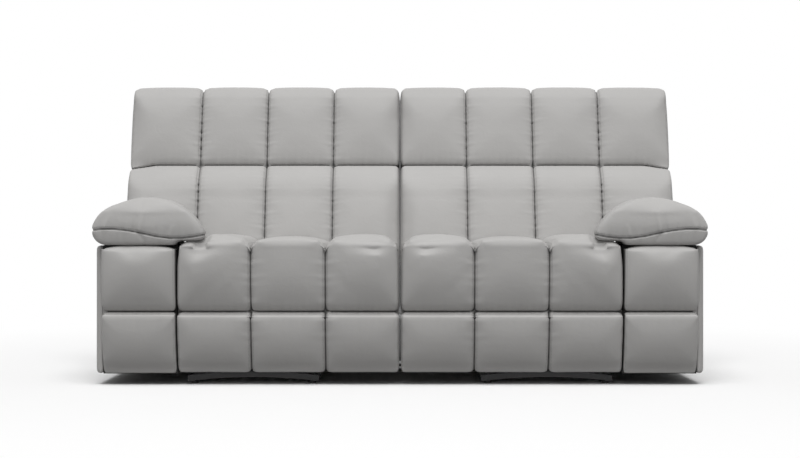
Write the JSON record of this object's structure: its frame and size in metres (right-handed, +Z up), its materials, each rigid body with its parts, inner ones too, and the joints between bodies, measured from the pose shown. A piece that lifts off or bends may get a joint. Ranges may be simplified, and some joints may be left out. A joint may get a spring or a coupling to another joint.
{
  "type": "reclining sofa",
  "caption": "Reclining sofa in two mirrored halves: channelled leather seat, leaning back, padded arms, folding footrests and a steel rocking base under each half.",
  "frame": {"origin": "floor point under the middle of the bounding box", "axes": "+X to the right as seen from the front, +Y to the rear, +Z up; the front of the sofa faces -Y"},
  "size_m": [2.06, 0.9395, 1.067],
  "materials": {
    "grey_leather": "satin",
    "rear_cover": "satin",
    "wood": "matte",
    "black_steel": "satin",
    "spring_steel": "satin",
    "black_plastic": "matte",
    "rubber": "matte",
    "webbing": "matte"
  },
  "bodies": {
    "base": {"base_feet": "rubber", "base_tie_rails": "black_steel", "base_frame_left": "black_steel", "base_frame_right": "black_steel"},
    "front_swing_left": {"front_swing_links_left": "black_steel"},
    "rear_swing_left": {"rear_swing_links_left": "black_steel"},
    "seat_unit_left": {"seat_plates_left": "black_steel", "seat_box_left": "wood", "seat_springs_left": "spring_steel", "seat_cushion_left": "grey_leather", "nose_arms_left": "black_steel", "rear_gussets_left": "wood", "rear_valance_left": "rear_cover", "arm_frame_left": "wood", "arm_outer_panel_left": "grey_leather", "arm_front_pad_left": "grey_leather", "arm_pad_left": "grey_leather", "release_cup_left": "black_plastic"},
    "back_left": {"back_frame_left": "wood", "back_brackets_left": "black_steel", "back_webbing_left": "webbing", "back_cover_left": "rear_cover", "lumbar_cushion_left": "grey_leather", "head_cushion_left": "grey_leather"},
    "footrest_left": {"footrest_board_left": "wood", "footrest_ears_left": "black_steel", "footrest_brackets_left": "black_steel", "calf_pad_left": "grey_leather", "ottoman_pad_left": "grey_leather"},
    "lift_arm_left": {"lift_arms_left": "black_steel"},
    "push_link_left": {"push_links_left": "black_steel"},
    "release_left": {"release_paddle_left": "black_plastic"},
    "front_swing_right": {"front_swing_links_right": "black_steel"},
    "rear_swing_right": {"rear_swing_links_right": "black_steel"},
    "seat_unit_right": {"seat_plates_right": "black_steel", "seat_box_right": "wood", "seat_springs_right": "spring_steel", "seat_cushion_right": "grey_leather", "nose_arms_right": "black_steel", "rear_gussets_right": "wood", "rear_valance_right": "rear_cover", "arm_frame_right": "wood", "arm_outer_panel_right": "grey_leather", "arm_front_pad_right": "grey_leather", "arm_pad_right": "grey_leather", "release_cup_right": "black_plastic"},
    "back_right": {"back_frame_right": "wood", "back_brackets_right": "black_steel", "back_webbing_right": "webbing", "back_cover_right": "rear_cover", "lumbar_cushion_right": "grey_leather", "head_cushion_right": "grey_leather"},
    "footrest_right": {"footrest_board_right": "wood", "footrest_ears_right": "black_steel", "footrest_brackets_right": "black_steel", "calf_pad_right": "grey_leather", "ottoman_pad_right": "grey_leather"},
    "lift_arm_right": {"lift_arms_right": "black_steel"},
    "push_link_right": {"push_links_right": "black_steel"},
    "release_right": {"release_paddle_right": "black_plastic"}
  },
  "joints": [
    {"name": "recline_left", "type": "hinge", "parent": "seat_unit_left", "child": "back_left", "pos_m": [-0.4985, 0.22345, 0.3], "axis": [-1, 0, 0], "range_deg": [0, 42]},
    {"name": "footrest_open_left", "type": "hinge", "parent": "seat_unit_left", "child": "footrest_left", "pos_m": [-0.4985, -0.456, 0.468], "axis": [-1, 0, 0], "range_deg": [0, 85]},
    {"name": "release_pull_left", "type": "hinge", "parent": "seat_unit_left", "child": "release_left", "pos_m": [-1.015, -0.15, 0.36], "axis": [0, 1, 0], "range_deg": [0, 30], "stiffness_Nm_per_rad": 0.6, "springref_deg": -17.19},
    {"name": "front_swing_pivot_left", "type": "hinge", "parent": "base", "child": "front_swing_left", "pos_m": [-0.4985, -0.195, 0.19], "axis": [1, 0, 0], "range_deg": [0, 50]},
    {"name": "seat_on_swing_left", "type": "hinge", "parent": "front_swing_left", "child": "seat_unit_left", "pos_m": [-0.4985, -0.15274, 0.28063], "axis": [-1, 0, 0], "range_deg": [0, 50]},
    {"name": "rear_swing_pivot_left", "type": "hinge", "parent": "base", "child": "rear_swing_left", "pos_m": [-0.4985, 0.145, 0.19], "axis": [1, 0, 0], "range_deg": [0, 50]},
    {"name": "lift_pivot_left", "type": "hinge", "parent": "seat_unit_left", "child": "lift_arm_left", "pos_m": [-0.4985, -0.266, 0.358], "axis": [-1, 0, 0], "range_deg": [0, 85]},
    {"name": "elbow_pivot_left", "type": "hinge", "parent": "lift_arm_left", "child": "push_link_left", "pos_m": [-0.4985, -0.176, 0.138], "axis": [1, 0, 0], "range_deg": [0, 85]},
    {"name": "recline_right", "type": "hinge", "parent": "seat_unit_right", "child": "back_right", "pos_m": [0.4985, 0.22345, 0.3], "axis": [-1, 0, 0], "range_deg": [0, 42]},
    {"name": "footrest_open_right", "type": "hinge", "parent": "seat_unit_right", "child": "footrest_right", "pos_m": [0.4985, -0.456, 0.468], "axis": [-1, 0, 0], "range_deg": [0, 85]},
    {"name": "release_pull_right", "type": "hinge", "parent": "seat_unit_right", "child": "release_right", "pos_m": [1.015, -0.15, 0.36], "axis": [0, -1, 0], "range_deg": [0, 30], "stiffness_Nm_per_rad": 0.6, "springref_deg": -17.19},
    {"name": "front_swing_pivot_right", "type": "hinge", "parent": "base", "child": "front_swing_right", "pos_m": [0.4985, -0.195, 0.19], "axis": [1, 0, 0], "range_deg": [0, 50]},
    {"name": "seat_on_swing_right", "type": "hinge", "parent": "front_swing_right", "child": "seat_unit_right", "pos_m": [0.4985, -0.15274, 0.28063], "axis": [-1, 0, 0], "range_deg": [0, 50]},
    {"name": "rear_swing_pivot_right", "type": "hinge", "parent": "base", "child": "rear_swing_right", "pos_m": [0.4985, 0.145, 0.19], "axis": [1, 0, 0], "range_deg": [0, 50]},
    {"name": "lift_pivot_right", "type": "hinge", "parent": "seat_unit_right", "child": "lift_arm_right", "pos_m": [0.4985, -0.266, 0.358], "axis": [-1, 0, 0], "range_deg": [0, 85]},
    {"name": "elbow_pivot_right", "type": "hinge", "parent": "lift_arm_right", "child": "push_link_right", "pos_m": [0.4985, -0.176, 0.138], "axis": [1, 0, 0], "range_deg": [0, 85]}
  ],
  "couplings": [
    {"joint": "front_swing_pivot_left", "follows": "recline_left", "ratio": 1.1905},
    {"joint": "seat_on_swing_left", "follows": "recline_left", "ratio": 1.1905},
    {"joint": "rear_swing_pivot_left", "follows": "recline_left", "ratio": 1.1905},
    {"joint": "lift_pivot_left", "follows": "footrest_open_left", "ratio": 1},
    {"joint": "elbow_pivot_left", "follows": "footrest_open_left", "ratio": 1},
    {"joint": "front_swing_pivot_right", "follows": "recline_right", "ratio": 1.1905},
    {"joint": "seat_on_swing_right", "follows": "recline_right", "ratio": 1.1905},
    {"joint": "rear_swing_pivot_right", "follows": "recline_right", "ratio": 1.1905},
    {"joint": "lift_pivot_right", "follows": "footrest_open_right", "ratio": 1},
    {"joint": "elbow_pivot_right", "follows": "footrest_open_right", "ratio": 1}
  ]
}
